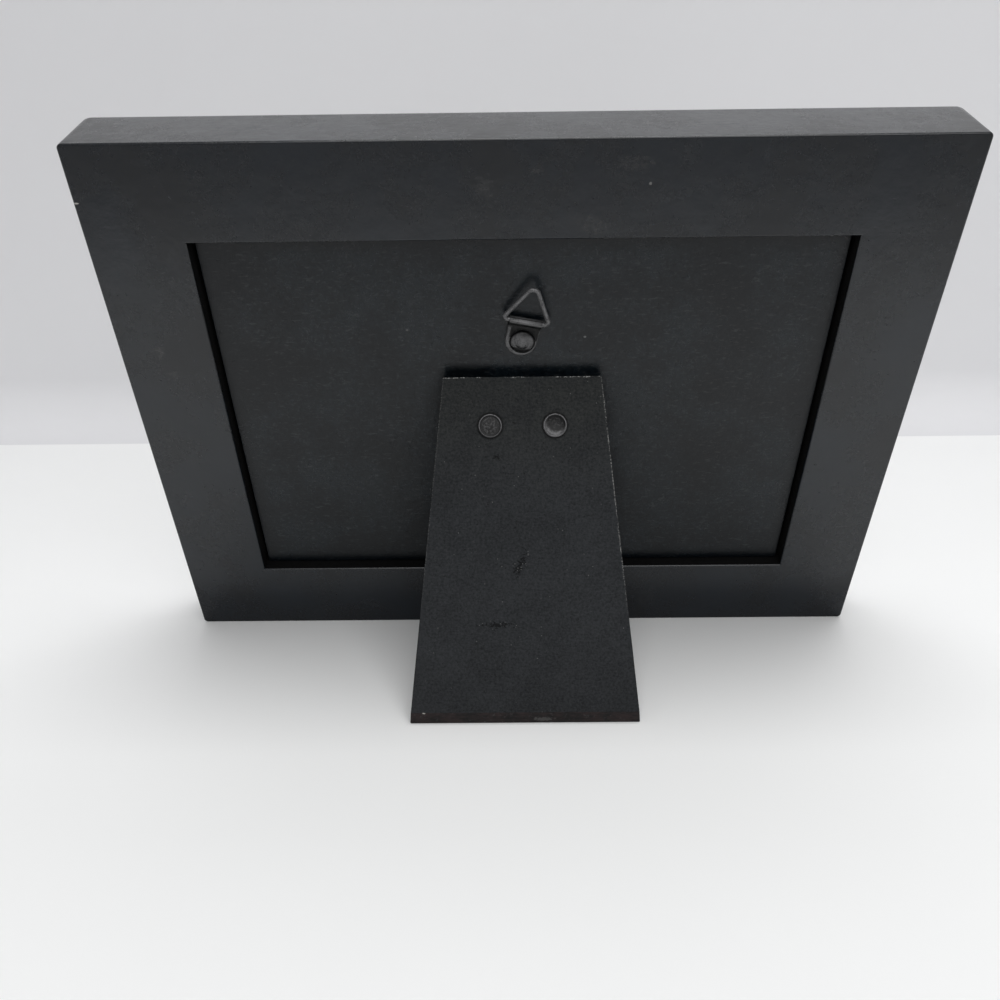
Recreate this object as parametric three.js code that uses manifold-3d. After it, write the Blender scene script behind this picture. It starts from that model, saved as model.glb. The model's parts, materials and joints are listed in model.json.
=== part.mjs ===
// Small landscape picture frame standing on its easel leg, in millimetres.
// Row frame: +Z up, the picture faces -Y, the back with its leg and hanger faces +Y.
// Pieces are drawn in the frame's own upright axes: x across, y out of the back face,
// z up the back face from its lower edge. One group then leans them all back onto the leg.
import * as THREE from 'three';
import { mergeVertices } from 'three/addons/utils/BufferGeometryUtils.js';
import Module from 'manifold-3d';

// Picture and moulding
const PRINT_WIDTH = 152.4;
const PRINT_HEIGHT = 101.6;
const REBATE_PLAY_ACROSS = 1.6; // rebate opening beyond the print, side to side
const REBATE_PLAY_UP = 2.4; // the same, bottom to top
const RAIL_WIDTH = 23; // outer face to rebate wall
const LIP_THICKNESS = 7; // moulding in front of the rebate
const LIP_OVERLAP = 6; // front lip past the rebate wall
const FRONT_ROUND = 2;
const SIGHT_ROUND = 0.8;
const BACK_EASE = 0.5;
const MITRE_GAP = 0.3;

// Bent wedges across the mitres
const WEDGE_LEG = 6;
const WEDGE_THICKNESS = 0.8;
const WEDGE_HEIGHT = 10;
const WEDGE_SINK = 2.5; // below the back face
const WEDGE_OUTER_INSET = 6.5; // bend to the outer faces of the corner
const WEDGE_INNER_INSET = 14.5;
const WEDGE_CLEARANCE = 0.2;

// Stack in the rebate, from the back
const RECESS_DEPTH = 3.2; // back face down to the panel
const PANEL_THICKNESS = 2.6;
const FILLER_THICKNESS = 3;
const PRINT_THICKNESS = 0.4;
const GLASS_THICKNESS = 2;
const PANEL_CLEARANCE_ACROSS = 0.8;
const PANEL_CLEARANCE_UP = 0.3;
const STACK_CLEARANCE = 0.4; // glass and filler to the rebate wall
const SEAT_GAP = 0.2; // between faces that touch

// Leg hinge
const HINGE_DROP = 17.2; // pin below the hanger's rivet
const HINGE_WIDTH = 30;
const LEG_KNUCKLE_WIDTH = 13;
const KNUCKLE_GAP = 0.4; // beside and below a knuckle
const LEAF_THICKNESS = 0.8;
const LEAF_EDGE = 1.4; // leaf left below a rivet
const PIN_RADIUS = 0.9;
const PIN_CLEARANCE = 0.3;
const PIN_HEAD_RADIUS = 1.6;
const PIN_HEAD_LENGTH = 0.8;

// Easel leg
const LEAN = THREE.MathUtils.degToRad(18.1); // standing frame from the upright
const LEG_OPEN_ANGLE = THREE.MathUtils.degToRad(37); // between panel and open leg
const LEG_TOP_WIDTH = 40.4;
const LEG_FOOT_WIDTH = 59.9;
const LEG_THICKNESS = 3.2;
const FOOT_BEVEL_DEPTH = 1.9;
const FOOT_BEVEL_ANGLE = THREE.MathUtils.degToRad(30); // from the outer face
const STOP_GAP = 0.3; // top edge of the open leg to the panel
const LEG_RIVET_DROP = 6.3; // below the pin
const LEG_RIVET_SPACING = 16.5;
const PANEL_RIVET_SPACING = 14;

// Rivets, one pattern of shank and tail with a flat or a domed head
const RIVET_HEAD_RADIUS = 3.05;
const FLAT_HEAD_HEIGHT = 0.9;
const DOME_HEAD_HEIGHT = 1.7;
const HEAD_RIM = 0.3; // straight edge of a head
const SHANK_RADIUS = 1.5;
const SHANK_CLEARANCE = 0.3;
const TAIL_RADIUS = 2.3;
const TAIL_HEIGHT = 0.7;
const TAIL_HOLLOW_RADIUS = 1.1;
const TAIL_HOLLOW_DEPTH = 0.9;
const RIVET_ROW_GAP = 0.5; // between leg rivet tails and panel rivet heads

// Hanger
const HANGER_DROP = 27.9; // rivet below the upper rebate wall
const HANGER_TILT = THREE.MathUtils.degToRad(11.5); // clockwise as seen from behind
const STRAP_THICKNESS = 0.6;
const STRAP_RIM_WIDTH = 0.7;
const STRAP_RIM_HEIGHT = 0.5;
const STRAP_DISH_CLEARANCE = 0.3; // rivet head to the raised rim
const ROLL_RISE = 5.9; // rivet to the axis of the roll
const WIRE_RADIUS = 0.45;
const WIRE_CLEARANCE = 0.35; // wire in the roll
const RING_SIDE_PLAY = 0.75; // each end of the roll to the middle of the ring's side
const RING_FLARE = 0.8; // widest place past each end of the bar
const RING_SHOULDER = 1.5; // bar up to the ring's widest place
const RING_RISE = 11.2; // bar up to where the two sides would meet
const RING_BAR_BEND = 0.5; // start of each bend before its corner
const RING_SHOULDER_BEND = 1;
const RING_TOP_BEND = 2.2;
const RING_TILT = THREE.MathUtils.degToRad(10); // out from the panel
const RING_SHIFT = 0.3; // along the roll

// Facets
const ROUND_SIDES = 24;
const ARC_STEPS = 4;
const WIRE_STEPS = 72;
const WIRE_SIDES = 8;
const MERGE_TOLERANCE = 1e-4;
const CUT_MARGIN = 1; // how far a cutting tool runs past the material

const PAINT = { color: 0x2e3032, roughness: 0.45, metalness: 0 };
const BOARD = { color: 0x2b2d2f, roughness: 0.75, metalness: 0 };
const PAPER_FACED = { color: 0x282927, roughness: 0.85, metalness: 0 };
const STEEL = { color: 0xb9bab8, roughness: 0.3, metalness: 1 };
const BLACK_STEEL = { color: 0x2c2d2f, roughness: 0.35, metalness: 0.4 };
const CLEAR_GLASS = { color: 0xe8efee, roughness: 0.05, metalness: 0, transparent: true, opacity: 0.25 };
const WHITE_PAPER = { color: 0xe9e6de, roughness: 0.8, metalness: 0 };
const BROWN_CARD = { color: 0xb09a7c, roughness: 0.9, metalness: 0 };

// Sizes that follow from the ones above
const openingWidth = PRINT_WIDTH + REBATE_PLAY_ACROSS;
const openingHeight = PRINT_HEIGHT + REBATE_PLAY_UP;
const frameWidth = openingWidth + 2 * RAIL_WIDTH;
const frameHeight = openingHeight + 2 * RAIL_WIDTH;
const railFront = RAIL_WIDTH + LIP_OVERLAP;
const openingMiddle = frameHeight / 2;
const hangerHeight = RAIL_WIDTH + openingHeight - HANGER_DROP; // rivet above the lower back edge
const hingeHeight = hangerHeight - HINGE_DROP; // pin above the lower back edge

const panelFront = RECESS_DEPTH + PANEL_THICKNESS;
const fillerBack = panelFront + SEAT_GAP;
const printBack = fillerBack + FILLER_THICKNESS + SEAT_GAP;
const glassBack = printBack + PRINT_THICKNESS + SEAT_GAP;
const rebateDepth = glassBack + GLASS_THICKNESS + SEAT_GAP;
const frameDepth = rebateDepth + LIP_THICKNESS;

const shankHole = SHANK_RADIUS + SHANK_CLEARANCE;
const tailHole = TAIL_RADIUS + SHANK_CLEARANCE;
const tailSink = TAIL_HEIGHT + SEAT_GAP;

const knuckleBore = PIN_RADIUS + PIN_CLEARANCE;
const knuckleRadius = knuckleBore + LEAF_THICKNESS;
const pinOffset = knuckleRadius + SEAT_GAP; // pin axis to the panel and to the leg's inner face
const knuckleRelief = knuckleRadius + KNUCKLE_GAP;
const legKnuckleSlot = LEG_KNUCKLE_WIDTH + 2 * KNUCKLE_GAP;

// The leg's top edge is its stop: above the pin it is just long enough to meet the panel.
const legOverhang = (pinOffset * (1 + Math.cos(LEG_OPEN_ANGLE)) - STOP_GAP) / Math.sin(LEG_OPEN_ANGLE);
const pinDepth = pinOffset - RECESS_DEPTH; // y of the pin

// The frame stands on the back edge of its underside and on the foot of the leg, so the leg reaches
// down to the line from that edge which is level when the frame leans.
const rise = Math.tan(LEAN);
const legTopUp = hingeHeight + pinOffset * Math.sin(LEG_OPEN_ANGLE);
const legTopOut = pinDepth + pinOffset * Math.cos(LEG_OPEN_ANGLE) + BACK_EASE;
const footDrop = (legTopUp - rise * legTopOut)
  / (Math.cos(LEG_OPEN_ANGLE) + rise * Math.sin(LEG_OPEN_ANGLE)); // pin to foot, along the leg
const legLength = footDrop + legOverhang;
const legTilt = LEG_OPEN_ANGLE - LEAN; // leg from the upright

const panelRivetDrop = LEG_RIVET_DROP + TAIL_RADIUS + RIVET_ROW_GAP + RIVET_HEAD_RADIUS;
const legLeafLength = LEG_RIVET_DROP + TAIL_RADIUS + LEAF_EDGE;
const panelLeafLength = panelRivetDrop + RIVET_HEAD_RADIUS + LEAF_EDGE;

const rollBore = WIRE_RADIUS + WIRE_CLEARANCE;
const rollRadius = rollBore + STRAP_THICKNESS;
const rollHeight = SEAT_GAP + rollRadius; // axis of the roll above the panel
const dishRadius = RIVET_HEAD_RADIUS + STRAP_DISH_CLEARANCE;
const strapWidth = 2 * (dishRadius + STRAP_RIM_WIDTH);

const wasm = await Module();
wasm.setup();

// A closed mesh as a solid that can be cut and joined
function toSolid(geometry) {
  const bare = geometry.clone();
  bare.deleteAttribute('normal');
  bare.deleteAttribute('uv');
  const merged = mergeVertices(bare, MERGE_TOLERANCE);
  return new wasm.Manifold(new wasm.Mesh({
    numProp: 3,
    vertProperties: new Float32Array(merged.attributes.position.array),
    triVerts: new Uint32Array(merged.index.array),
  }));
}

function toGeometry(solid) {
  const mesh = solid.getMesh();
  const geometry = new THREE.BufferGeometry();
  geometry.setAttribute('position', new THREE.BufferAttribute(mesh.vertProperties, 3));
  geometry.setIndex(new THREE.BufferAttribute(mesh.triVerts, 1));
  geometry.computeVertexNormals();
  return geometry;
}

function cut(base, tools) {
  const solid = tools.reduce((rest, tool) => rest.subtract(toSolid(tool)), toSolid(base));
  return toGeometry(solid);
}

function join(pieces) {
  const solids = pieces.map(toSolid);
  return toGeometry(solids.reduce((whole, solid) => whole.add(solid)));
}

function overlapOf(first, second) {
  return toGeometry(toSolid(first).intersect(toSolid(second)));
}

function outline(points) {
  return new THREE.Shape(points.map(([across, up]) => new THREE.Vector2(across, up)));
}

function rectangle(width, bottom, top) {
  const half = width / 2;
  return outline([[-half, bottom], [half, bottom], [half, top], [-half, top]]);
}

// A shape drawn in x and z, with its back at y and its thickness towards the front
function slab(shape, y, thickness) {
  const settings = { depth: thickness, bevelEnabled: false, curveSegments: ROUND_SIDES / 2 };
  return new THREE.ExtrudeGeometry(shape, settings).rotateX(Math.PI / 2).translate(0, y, 0);
}

// A section drawn as up (z) and out (y), running across x
function bar(section, length) {
  const settings = { depth: length, bevelEnabled: false, curveSegments: ARC_STEPS };
  return new THREE.ExtrudeGeometry(section, settings).rotateY(-Math.PI / 2).translate(length / 2, 0, 0);
}

// A round bar along x, its middle at x
function roundBar(radius, length, x = 0) {
  return new THREE.CylinderGeometry(radius, radius, length, ROUND_SIDES)
    .rotateZ(Math.PI / 2)
    .translate(x, 0, 0);
}

// A round plug along y from one depth to another, for drilling
function drill(radius, x, z, yLow, yHigh) {
  return new THREE.CylinderGeometry(radius, radius, yHigh - yLow, ROUND_SIDES)
    .translate(x, (yLow + yHigh) / 2, z);
}

function piece(name, geometry, finish) {
  const mesh = new THREE.Mesh(geometry, new THREE.MeshStandardMaterial(finish));
  mesh.name = name;
  return mesh;
}

// Rails
// Section of the moulding: up is the distance in from the outer face, out is towards the back.
function mouldingSection() {
  const section = new THREE.Shape();
  const quarter = Math.PI / 2;
  section.moveTo(0, -BACK_EASE);
  section.lineTo(0, FRONT_ROUND - frameDepth);
  section.absarc(FRONT_ROUND, FRONT_ROUND - frameDepth, FRONT_ROUND, 2 * quarter, 3 * quarter, false);
  const sightEdge = railFront - SIGHT_ROUND;
  section.lineTo(sightEdge, -frameDepth);
  section.absarc(sightEdge, SIGHT_ROUND - frameDepth, SIGHT_ROUND, 3 * quarter, 4 * quarter, false);
  section.lineTo(railFront, -rebateDepth);
  section.lineTo(RAIL_WIDTH, -rebateDepth);
  section.lineTo(RAIL_WIDTH, -BACK_EASE);
  section.lineTo(RAIL_WIDTH - BACK_EASE, 0);
  section.lineTo(BACK_EASE, 0);
  section.closePath();
  return section;
}

// Two short arms at a right angle, with the bend at the origin
function wedgeOutline(clearance) {
  const half = WEDGE_THICKNESS / 2 + clearance;
  const end = WEDGE_LEG + clearance;
  return outline([[-half, -half], [end, -half], [end, half], [half, half], [half, end], [-half, end]]);
}

function wedgeBody(clearance) {
  return slab(wedgeOutline(clearance), clearance - WEDGE_SINK, WEDGE_HEIGHT + 2 * clearance);
}

// A lower rail of the given length with mitred ends and slots for the wedges
function railBody(length) {
  const gap = MITRE_GAP / Math.SQRT2;
  const half = length / 2 - gap;
  const inner = half - railFront;
  const mitred = outline([[-half, 0], [half, 0], [inner, railFront], [-inner, railFront]]);
  const stick = bar(mouldingSection(), length);
  const body = overlapOf(stick, slab(mitred, CUT_MARGIN, frameDepth + 2 * CUT_MARGIN));
  const slots = [];
  for (const inset of [WEDGE_OUTER_INSET, WEDGE_INNER_INSET]) {
    const reach = length / 2 - inset;
    slots.push(wedgeBody(WEDGE_CLEARANCE).translate(-reach, 0, inset));
    slots.push(wedgeBody(WEDGE_CLEARANCE).rotateY(-Math.PI / 2).translate(reach, 0, inset));
  }
  return cut(body, slots);
}

function addRails(group) {
  const rails = [
    ['rail_bottom', frameWidth, 0, 0, 0],
    ['rail_right', frameHeight, frameWidth / 2, frameHeight / 2, -Math.PI / 2],
    ['rail_top', frameWidth, 0, frameHeight, Math.PI],
    ['rail_left', frameHeight, -frameWidth / 2, frameHeight / 2, Math.PI / 2],
  ];
  for (const [name, length, x, z, turn] of rails) {
    const rail = piece(name, railBody(length), PAINT);
    rail.position.set(x, 0, z);
    rail.rotation.y = turn;
    group.add(rail);
  }
}

function addWedges(group) {
  const corners = [
    ['bottom_left', -1, 0, 0],
    ['bottom_right', 1, 0, -Math.PI / 2],
    ['top_right', 1, 1, Math.PI],
    ['top_left', -1, 1, Math.PI / 2],
  ];
  const insets = [['outer', WEDGE_OUTER_INSET], ['inner', WEDGE_INNER_INSET]];
  for (const [corner, side, level, turn] of corners) {
    for (const [place, inset] of insets) {
      const wedge = piece(`v_nail_${corner}_${place}`, wedgeBody(0), STEEL);
      wedge.position.x = side * (frameWidth / 2 - inset);
      wedge.position.z = level ? frameHeight - inset : inset;
      wedge.rotation.y = turn;
      group.add(wedge);
    }
  }
}

// Glass, print and filler card, cut to the rebate and lying on each other
function sheet(name, width, height, back, thickness, finish) {
  const shape = rectangle(width, openingMiddle - height / 2, openingMiddle + height / 2);
  return piece(name, slab(shape, -back, thickness), finish);
}

function addPictureStack(group) {
  const width = openingWidth - 2 * STACK_CLEARANCE;
  const height = openingHeight - 2 * STACK_CLEARANCE;
  group.add(sheet('glass', width, height, glassBack, GLASS_THICKNESS, CLEAR_GLASS));
  group.add(sheet('print', PRINT_WIDTH, PRINT_HEIGHT, printBack, PRINT_THICKNESS, WHITE_PAPER));
  group.add(sheet('filler_card', width, height, fillerBack, FILLER_THICKNESS, BROWN_CARD));
}

// Rivets
// The head stands on y = 0, the shank runs down through the grip and ends in a rolled, hollow tail.
function rivetBody(headHeight, grip) {
  const tailEnd = -grip - TAIL_HEIGHT;
  const points = [
    [0, tailEnd + TAIL_HOLLOW_DEPTH],
    [TAIL_HOLLOW_RADIUS, tailEnd],
    [TAIL_RADIUS - SEAT_GAP, tailEnd],
    [TAIL_RADIUS, -grip],
    [SHANK_RADIUS, -grip],
    [SHANK_RADIUS, 0],
    [RIVET_HEAD_RADIUS, 0],
  ];
  const crown = headHeight - HEAD_RIM;
  for (let step = 0; step <= ARC_STEPS; step += 1) {
    const angle = (step / ARC_STEPS) * (Math.PI / 2);
    points.push([RIVET_HEAD_RADIUS * Math.cos(angle), HEAD_RIM + crown * Math.sin(angle)]);
  }
  points[points.length - 1][0] = 0;
  return new THREE.LatheGeometry(points.map(([r, y]) => new THREE.Vector2(r, y)), ROUND_SIDES);
}

function rivet(name, headHeight, grip, x, y, z, finish) {
  const mesh = piece(name, rivetBody(headHeight, grip), finish);
  mesh.position.set(x, y, z);
  return mesh;
}

// Sides of a pair, as seen from the front
const pair = [['left', -1], ['right', 1]];

// Back panel, drilled for the hinge and hanger rivets, whose tails sit in sinkings in its front
function addBackPanel(group) {
  const width = openingWidth - 2 * PANEL_CLEARANCE_ACROSS;
  const height = openingHeight - 2 * PANEL_CLEARANCE_UP;
  const shape = rectangle(width, openingMiddle - height / 2, openingMiddle + height / 2);
  const places = pair.map(([, side]) => [(side * PANEL_RIVET_SPACING) / 2, hingeHeight - panelRivetDrop]);
  places.push([0, hangerHeight]);
  const holes = [];
  for (const [x, z] of places) {
    holes.push(drill(shankHole, x, z, -panelFront - CUT_MARGIN, CUT_MARGIN - RECESS_DEPTH));
    holes.push(drill(tailHole, x, z, -panelFront - CUT_MARGIN, tailSink - panelFront));
  }
  group.add(piece('back_panel', cut(slab(shape, -RECESS_DEPTH, PANEL_THICKNESS), holes), BOARD));
}

// What a rivet in the panel grips: from its tail's sinking to the head, through what lies on the panel
function panelGrip(stackHeight) {
  return PANEL_THICKNESS - tailSink + SEAT_GAP + stackHeight + 2 * SEAT_GAP;
}

// Hinge and leg
// The group's origin is on the pin. The panel leaf hangs below the pin against the panel.
function addPanelLeaf(hinge) {
  const half = HINGE_WIDTH / 2;
  const slot = legKnuckleSlot / 2;
  const shape = outline([
    [-half, -panelLeafLength], [half, -panelLeafLength], [half, 0], [slot, 0],
    [slot, -knuckleRelief], [-slot, -knuckleRelief], [-slot, 0], [-half, 0],
  ]);
  const plate = slab(shape, LEAF_THICKNESS - knuckleRadius, LEAF_THICKNESS);
  const knuckleWidth = half - slot;
  const knuckleMiddle = slot + knuckleWidth / 2;
  const knuckles = pair.map(([, side]) => roundBar(knuckleRadius, knuckleWidth, side * knuckleMiddle));
  const holes = [roundBar(knuckleBore, HINGE_WIDTH + 2 * CUT_MARGIN)];
  for (const [, side] of pair) {
    const x = (side * PANEL_RIVET_SPACING) / 2;
    holes.push(drill(shankHole, x, -panelRivetDrop, -knuckleRadius - CUT_MARGIN, CUT_MARGIN));
  }
  hinge.add(piece('hinge_panel_leaf', cut(join([plate, ...knuckles]), holes), BLACK_STEEL));
}

function addPanelRivets(hinge) {
  const seat = LEAF_THICKNESS - knuckleRadius + SEAT_GAP;
  for (const [name, side] of pair) {
    const x = (side * PANEL_RIVET_SPACING) / 2;
    const grip = panelGrip(LEAF_THICKNESS);
    hinge.add(rivet(`panel_rivet_${name}`, FLAT_HEAD_HEIGHT, grip, x, seat, -panelRivetDrop, BLACK_STEEL));
  }
}

function addPin(hinge) {
  const length = HINGE_WIDTH + 2 * KNUCKLE_GAP;
  const headMiddle = (length + PIN_HEAD_LENGTH) / 2;
  const heads = pair.map(([, side]) => roundBar(PIN_HEAD_RADIUS, PIN_HEAD_LENGTH, side * headMiddle));
  const shaft = roundBar(PIN_RADIUS, length + PIN_HEAD_LENGTH);
  hinge.add(piece('hinge_pin', join([shaft, ...heads]), BLACK_STEEL));
}

function addLegLeaf(leg) {
  const half = HINGE_WIDTH / 2;
  const tab = LEG_KNUCKLE_WIDTH / 2;
  const shape = outline([
    [-half, -legLeafLength], [half, -legLeafLength], [half, -knuckleRelief], [tab, -knuckleRelief],
    [tab, 0], [-tab, 0], [-tab, -knuckleRelief], [-half, -knuckleRelief],
  ]);
  const plate = slab(shape, knuckleRadius, LEAF_THICKNESS);
  const knuckle = roundBar(knuckleRadius, LEG_KNUCKLE_WIDTH);
  const holes = [roundBar(knuckleBore, HINGE_WIDTH)];
  for (const [, side] of pair) {
    const x = (side * LEG_RIVET_SPACING) / 2;
    holes.push(drill(shankHole, x, -LEG_RIVET_DROP, 0, knuckleRadius + CUT_MARGIN));
  }
  leg.add(piece('hinge_leg_leaf', cut(join([plate, knuckle]), holes), BLACK_STEEL));
}

// The leg's section has a foot cut level with the table and a bevel on its outer lower edge.
function legSection() {
  const inner = pinOffset;
  const outer = inner + LEG_THICKNESS;
  const footDepth = LEG_THICKNESS - FOOT_BEVEL_DEPTH;
  const bevelEnd = -footDrop - footDepth * Math.tan(legTilt);
  const bevelStart = bevelEnd + FOOT_BEVEL_DEPTH / Math.tan(FOOT_BEVEL_ANGLE);
  return outline([
    [legOverhang, inner], [-footDrop, inner], [bevelEnd, inner + footDepth],
    [bevelStart, outer], [legOverhang, outer],
  ]);
}

function addLegBoard(leg) {
  const flare = (LEG_FOOT_WIDTH - LEG_TOP_WIDTH) / (2 * legLength);
  const low = -footDrop - LEG_THICKNESS;
  const top = LEG_TOP_WIDTH / 2;
  const bottom = top + flare * (legOverhang - low);
  const face = outline([[-bottom, low], [bottom, low], [top, legOverhang], [-top, legOverhang]]);
  const outer = pinOffset + LEG_THICKNESS;
  const blank = slab(face, outer + CUT_MARGIN, LEG_THICKNESS + 2 * CUT_MARGIN);
  const board = overlapOf(bar(legSection(), 2 * bottom + CUT_MARGIN), blank);
  const holes = pair.map(([, side]) => (
    drill(shankHole, (side * LEG_RIVET_SPACING) / 2, -LEG_RIVET_DROP, 0, outer + CUT_MARGIN)
  ));
  leg.add(piece('leg', cut(board, holes), PAPER_FACED));
}

function addLegRivets(leg) {
  const seat = pinOffset + LEG_THICKNESS + SEAT_GAP;
  const grip = LEG_THICKNESS + LEAF_THICKNESS + 3 * SEAT_GAP;
  for (const [name, side] of pair) {
    const x = (side * LEG_RIVET_SPACING) / 2;
    leg.add(rivet(`leg_rivet_${name}`, FLAT_HEAD_HEIGHT, grip, x, seat, -LEG_RIVET_DROP, BLACK_STEEL));
  }
}

// Hanger
// The group's origin is on the panel under the rivet. The strap lies on the panel, dished round the
// rivet's head, and its top end is rolled round the ring's bar.
function addStrap(hanger) {
  const half = strapWidth / 2;
  const rimTop = SEAT_GAP + STRAP_THICKNESS + STRAP_RIM_HEIGHT;
  const end = new THREE.Shape();
  end.moveTo(half, ROLL_RISE - rollRadius);
  end.lineTo(-half, ROLL_RISE - rollRadius);
  end.lineTo(-half, 0);
  end.absarc(0, 0, half, Math.PI, 2 * Math.PI, false);
  end.closePath();
  const neck = rectangle(strapWidth, 0, ROLL_RISE);
  const blank = join([
    slab(end, rimTop, STRAP_THICKNESS + STRAP_RIM_HEIGHT),
    slab(neck, SEAT_GAP + STRAP_THICKNESS, STRAP_THICKNESS),
    roundBar(rollRadius, strapWidth).translate(0, rollHeight, ROLL_RISE),
  ]);
  const floor = SEAT_GAP + STRAP_THICKNESS;
  const holes = [
    drill(dishRadius, 0, 0, floor, rimTop + CUT_MARGIN),
    drill(shankHole, 0, 0, -CUT_MARGIN, rimTop),
    roundBar(rollBore, strapWidth + 2 * CUT_MARGIN).translate(0, rollHeight, ROLL_RISE),
  ];
  hanger.add(piece('hanger_strap', cut(blank, holes), BLACK_STEEL));
}

function addHangerRivet(hanger) {
  const seat = STRAP_THICKNESS + 2 * SEAT_GAP;
  hanger.add(rivet('hanger_rivet', DOME_HEAD_HEIGHT, panelGrip(STRAP_THICKNESS), 0, seat, 0, BLACK_STEEL));
}

// A closed path through corners, each rounded from a given distance before it to as far after it
function roundedLoop(corners) {
  const path = new THREE.Path();
  const count = corners.length;
  corners.forEach(([x, z, bend], index) => {
    const corner = new THREE.Vector2(x, z);
    const before = new THREE.Vector2(...corners[(index + count - 1) % count].slice(0, 2));
    const after = new THREE.Vector2(...corners[(index + 1) % count].slice(0, 2));
    const enter = corner.clone().add(before.sub(corner).setLength(bend));
    const leave = corner.clone().add(after.sub(corner).setLength(bend));
    if (index === 0) path.moveTo(enter.x, enter.y);
    else path.lineTo(enter.x, enter.y);
    path.quadraticCurveTo(corner.x, corner.y, leave.x, leave.y);
  });
  path.closePath();
  return path;
}

// The flat loop of the ring's wire, in x and z with its bar on z = 0
class WireLoop extends THREE.Curve {
  constructor(path) {
    super();
    this.path = path;
  }

  getPoint(t, target = new THREE.Vector3()) {
    const point = this.path.getPoint(t);
    return target.set(point.x, 0, point.y);
  }
}

function addRing(hanger) {
  const barEnd = strapWidth / 2 + RING_SIDE_PLAY;
  const shoulder = barEnd + RING_FLARE;
  const path = roundedLoop([
    [-barEnd, 0, RING_BAR_BEND], [barEnd, 0, RING_BAR_BEND], [shoulder, RING_SHOULDER, RING_SHOULDER_BEND],
    [0, RING_RISE, RING_TOP_BEND], [-shoulder, RING_SHOULDER, RING_SHOULDER_BEND],
  ]);
  const wire = new THREE.TubeGeometry(new WireLoop(path), WIRE_STEPS, WIRE_RADIUS, WIRE_SIDES, true);
  const ring = piece('hanger_ring', wire, BLACK_STEEL);
  ring.position.set(RING_SHIFT, rollHeight, ROLL_RISE);
  ring.rotation.x = -RING_TILT;
  hanger.add(ring);
}

// Assembly
const frame = new THREE.Group();
addRails(frame);
addWedges(frame);
addPictureStack(frame);
addBackPanel(frame);

const hinge = new THREE.Group();
hinge.position.set(0, pinDepth, hingeHeight);
addPanelLeaf(hinge);
addPanelRivets(hinge);
addPin(hinge);
frame.add(hinge);

const leg = new THREE.Group();
leg.rotation.x = LEG_OPEN_ANGLE;
addLegLeaf(leg);
addLegBoard(leg);
addLegRivets(leg);
hinge.add(leg);

const hanger = new THREE.Group();
hanger.position.set(0, -RECESS_DEPTH, hangerHeight);
hanger.rotation.y = -HANGER_TILT;
addStrap(hanger);
addHangerRivet(hanger);
addRing(hanger);
frame.add(hanger);

frame.rotation.x = -LEAN;

// The origin is on the table, in the middle of the space that the standing frame takes up.
const pictureFrame = new THREE.Group();
pictureFrame.add(frame);
const extent = new THREE.Box3().setFromObject(pictureFrame, true);
frame.position.y = -(extent.min.y + extent.max.y) / 2;
frame.position.z = -extent.min.z;

export default pictureFrame;
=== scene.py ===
# Small black picture frame seen from behind, standing on its easel leg.
# Sizes in the dictionaries are millimetres, meshes are made in metres.
import json
import math
import bmesh
import bpy
from mathutils import Matrix, Vector, noise


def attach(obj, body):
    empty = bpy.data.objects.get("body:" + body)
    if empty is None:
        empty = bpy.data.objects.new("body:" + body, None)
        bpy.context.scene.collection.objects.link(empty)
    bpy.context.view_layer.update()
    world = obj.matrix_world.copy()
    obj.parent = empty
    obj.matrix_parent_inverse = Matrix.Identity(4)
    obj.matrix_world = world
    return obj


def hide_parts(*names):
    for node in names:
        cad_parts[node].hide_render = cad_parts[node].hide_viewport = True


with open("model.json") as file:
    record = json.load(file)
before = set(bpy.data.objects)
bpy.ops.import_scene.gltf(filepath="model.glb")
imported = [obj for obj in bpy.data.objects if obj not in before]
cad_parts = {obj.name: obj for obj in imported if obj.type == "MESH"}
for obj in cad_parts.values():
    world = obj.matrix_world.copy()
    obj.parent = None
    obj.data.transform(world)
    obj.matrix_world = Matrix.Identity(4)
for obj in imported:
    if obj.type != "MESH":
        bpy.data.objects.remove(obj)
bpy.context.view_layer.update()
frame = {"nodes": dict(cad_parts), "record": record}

mm = 0.001
joints = {joint["name"]: joint for joint in frame["record"]["behaviour"]["joints"]}


# the camera stands where the photograph was taken
cameraLook = {
    "at": (3.730, 242.958, 147.060),
    "turn": (67.8739, 0.6838, -179.7131),  # degrees
    "lens": 34.0918,
    "sensor": 36.0,
    "nearest": 5.0,
}


def makeCamera(look):
    data = bpy.data.cameras.new("camera")
    data.sensor_fit = "HORIZONTAL"
    data.sensor_width = look["sensor"]
    data.lens = look["lens"]
    data.clip_start = look["nearest"] * mm
    camera = bpy.data.objects.new("camera", data)
    camera.location = Vector(look["at"]) * mm
    camera.rotation_euler = [math.radians(angle) for angle in look["turn"]]
    bpy.context.scene.collection.objects.link(camera)
    bpy.context.scene.camera = camera


makeCamera(cameraLook)
print("camera placed")


# places: a matrix with x across, y out of the face and z up it
def placeAt(origin, x, y):
    place = Matrix((x, y, x.cross(y))).transposed().to_4x4()
    place.translation = origin
    return place


def pointsOf(node, place):  # a node's points along a place's axes, in mm
    inverse = place.inverted()
    return [inverse @ vertex.co / mm for vertex in frame["nodes"][node].data.vertices]


def span(node, place):  # the lowest and the highest corner of those points
    points = pointsOf(node, place)
    return Vector(map(min, zip(*points))), Vector(map(max, zip(*points)))


across = Vector((1, 0, 0))
backOut = Vector(joints["back_lift"]["axis"]).normalized()
backUp = across.cross(backOut)
railLow, railHigh = span("rail_bottom", placeAt(Vector(), across, backOut))
backPlace = placeAt((backOut * railHigh.y + backUp * railLow.z) * mm, across, backOut)

legOpen = math.radians(-joints["leg_fold"]["range_deg"][0])
hingePlace = placeAt(Vector(joints["leg_fold"]["pos_m"]), across, backOut)
legPlace = placeAt(hingePlace.translation, across, Matrix.Rotation(legOpen, 3, across) @ backOut)

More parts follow.
